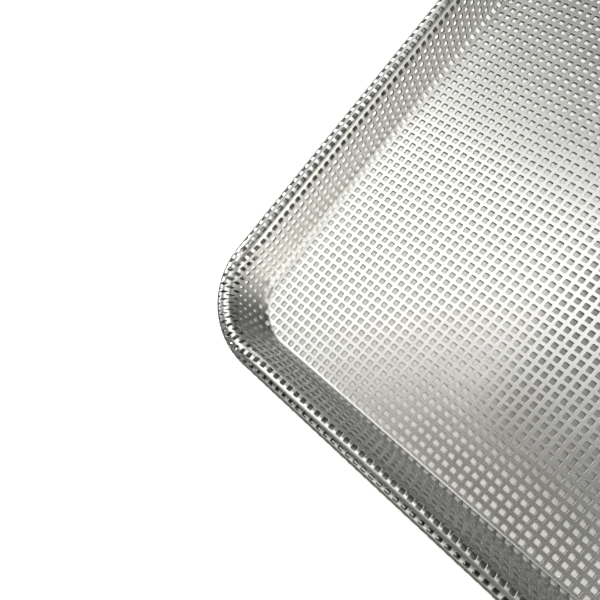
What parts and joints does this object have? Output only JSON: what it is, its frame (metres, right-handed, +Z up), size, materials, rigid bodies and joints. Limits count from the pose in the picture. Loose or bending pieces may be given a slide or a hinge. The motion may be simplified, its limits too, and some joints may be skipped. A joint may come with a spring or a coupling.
{
  "type": "perforated baking tray",
  "caption": "Flat rectangular baking tray of perforated aluminium sheet with outward-leaning walls, round corners and an edge rolled over a steel wire.",
  "frame": {"origin": "middle of the flat underside, at the height of the surface the tray stands on", "axes": "+X along the long side, +Y along the short side, +Z up through the open top"},
  "size_m": [0.6, 0.4, 0.0266],
  "materials": {
    "aluminium_sheet": "natural mill finish, satin, with a faint rolled grain and small press marks on the rim",
    "rim_wire_steel": "drawn galvanised wire, dull"
  },
  "bodies": {
    "root": {"perforated_pan": "aluminium_sheet", "rim_wire": "rim_wire_steel"}
  },
  "joints": []
}
